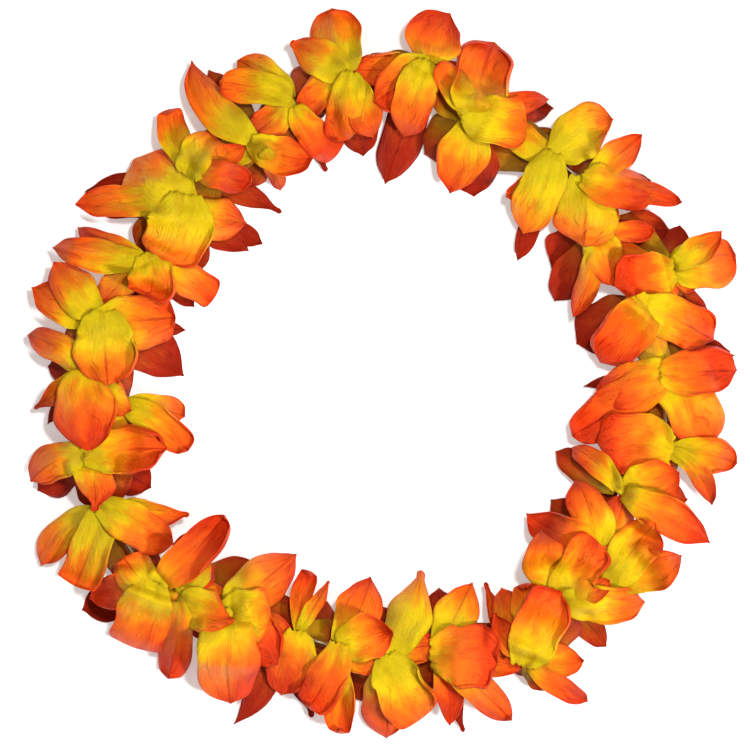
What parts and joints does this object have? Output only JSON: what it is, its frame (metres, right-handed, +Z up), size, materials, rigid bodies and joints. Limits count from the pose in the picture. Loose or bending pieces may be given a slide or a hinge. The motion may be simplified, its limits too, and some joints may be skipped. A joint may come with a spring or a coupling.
{
  "type": "flower lei",
  "caption": "Cloth flower garland laid flat in a closed loop: pressed petal blooms and clear spacer tubes threaded on one cord.",
  "frame": {"origin": "on the surface that the lei rests on, at the middle of its bounding box", "axes": "+Z up out of the surface, +Y towards the top of the loop as seen in the reference view, +X to its right"},
  "size_m": [0.406, 0.418, 0.0504],
  "materials": {
    "petal_cloth": "satin",
    "cord": "matte",
    "tube": "gloss"
  },
  "bodies": {
    "root": {"bloom_01": "petal_cloth", "bloom_02": "petal_cloth", "bloom_03": "petal_cloth", "bloom_04": "petal_cloth", "bloom_05": "petal_cloth", "bloom_06": "petal_cloth", "bloom_07": "petal_cloth", "bloom_08": "petal_cloth", "bloom_09": "petal_cloth", "bloom_10": "petal_cloth", "bloom_11": "petal_cloth", "bloom_12": "petal_cloth", "bloom_13": "petal_cloth", "bloom_14": "petal_cloth", "bloom_15": "petal_cloth", "bloom_16": "petal_cloth", "bloom_17": "petal_cloth", "bloom_18": "petal_cloth", "bloom_19": "petal_cloth", "bloom_20": "petal_cloth", "bloom_21": "petal_cloth", "bloom_22": "petal_cloth", "bloom_23": "petal_cloth", "bloom_24": "petal_cloth", "bloom_25": "petal_cloth", "bloom_26": "petal_cloth", "bloom_27": "petal_cloth", "bloom_28": "petal_cloth", "bloom_29": "petal_cloth", "bloom_30": "petal_cloth", "bloom_31": "petal_cloth", "bloom_32": "petal_cloth", "cord": "cord", "tube_01": "tube", "tube_02": "tube", "tube_03": "tube", "tube_04": "tube", "tube_05": "tube", "tube_06": "tube", "tube_07": "tube", "tube_08": "tube", "tube_11": "tube", "tube_12": "tube", "tube_13": "tube", "tube_14": "tube", "tube_16": "tube", "tube_17": "tube", "tube_18": "tube", "tube_19": "tube", "tube_20": "tube", "tube_21": "tube", "tube_22": "tube", "tube_24": "tube", "tube_25": "tube", "tube_26": "tube", "tube_27": "tube", "tube_29": "tube", "tube_30": "tube", "tube_31": "tube", "tube_32": "tube"}
  },
  "joints": []
}
